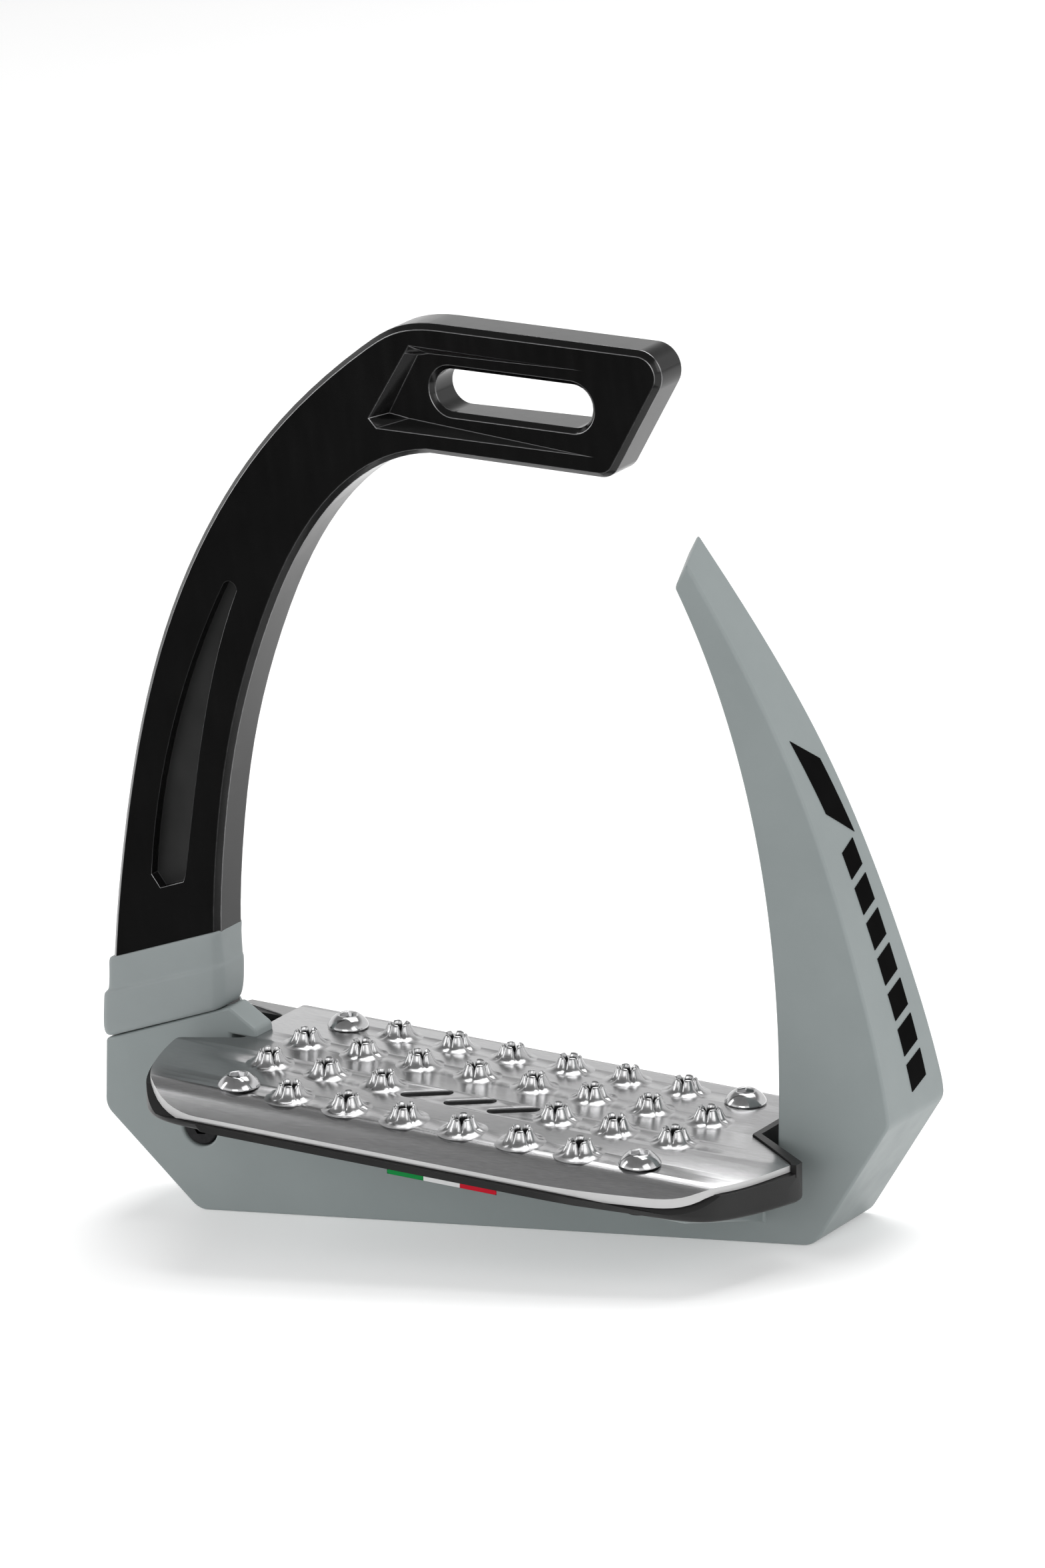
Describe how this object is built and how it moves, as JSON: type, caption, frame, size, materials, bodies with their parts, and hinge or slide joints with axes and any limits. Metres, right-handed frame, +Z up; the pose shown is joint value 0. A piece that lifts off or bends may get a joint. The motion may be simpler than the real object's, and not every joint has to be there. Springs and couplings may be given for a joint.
{
  "type": "safety stirrup iron",
  "caption": "Riding stirrup iron with a hooked metal arm and leather slot, a sprung foot joint, a toothed tread and a bending outer arm that lets the foot go.",
  "frame": {"origin": "on the ground, under the middle of the overall box, with the flat underside of the base at Z 0", "axes": "+Z up, +X from the inner metal arm to the outer bending arm, +Y to the back, away from the tread's turned-down lip"},
  "size_m": [0.166, 0.0532, 0.1661],
  "materials": {
    "black_anodised": "black anodised, glossy",
    "bronze": "machined",
    "grey_elastomer": "satin elastomer",
    "grey_polymer": "fine satin moulding",
    "black_steel": "black oxide",
    "white_nylon": "satin",
    "black_rubber": "satin rubber",
    "stainless_sheet": "brushed",
    "polished_steel": "polished",
    "strip_green": "satin",
    "strip_red": "satin"
  },
  "bodies": {
    "footbed": {"base_frame": "grey_polymer", "tread_pad": "black_rubber", "tread_plate": "stainless_sheet", "tread_screws": "polished_steel", "tread_inserts": "bronze", "pivot_pin": "black_steel", "pivot_nut": "black_steel", "thrust_washers": "white_nylon", "tang_buffers": "black_rubber", "strip_green": "strip_green", "strip_white": "white_nylon", "strip_red": "strip_red"},
    "hook": {"inner_arm": "black_anodised", "pivot_bush": "bronze", "arm_cuff": "grey_elastomer"},
    "release_arm": {"outer_arm": "grey_polymer"}
  },
  "joints": [
    {"name": "elastic_pivot", "type": "hinge", "parent": "footbed", "child": "hook", "pos_m": [-0.0629, 0.0102, 0.016], "axis": [0, 1, 0], "range_deg": [-2, 2], "stiffness_Nm_per_rad": 60},
    {"name": "outer_arm_flex", "type": "hinge", "parent": "footbed", "child": "release_arm", "pos_m": [0.0714, 0.0142, 0.026], "axis": [0, 1, 0], "range_deg": [0, 32], "stiffness_Nm_per_rad": 8}
  ]
}
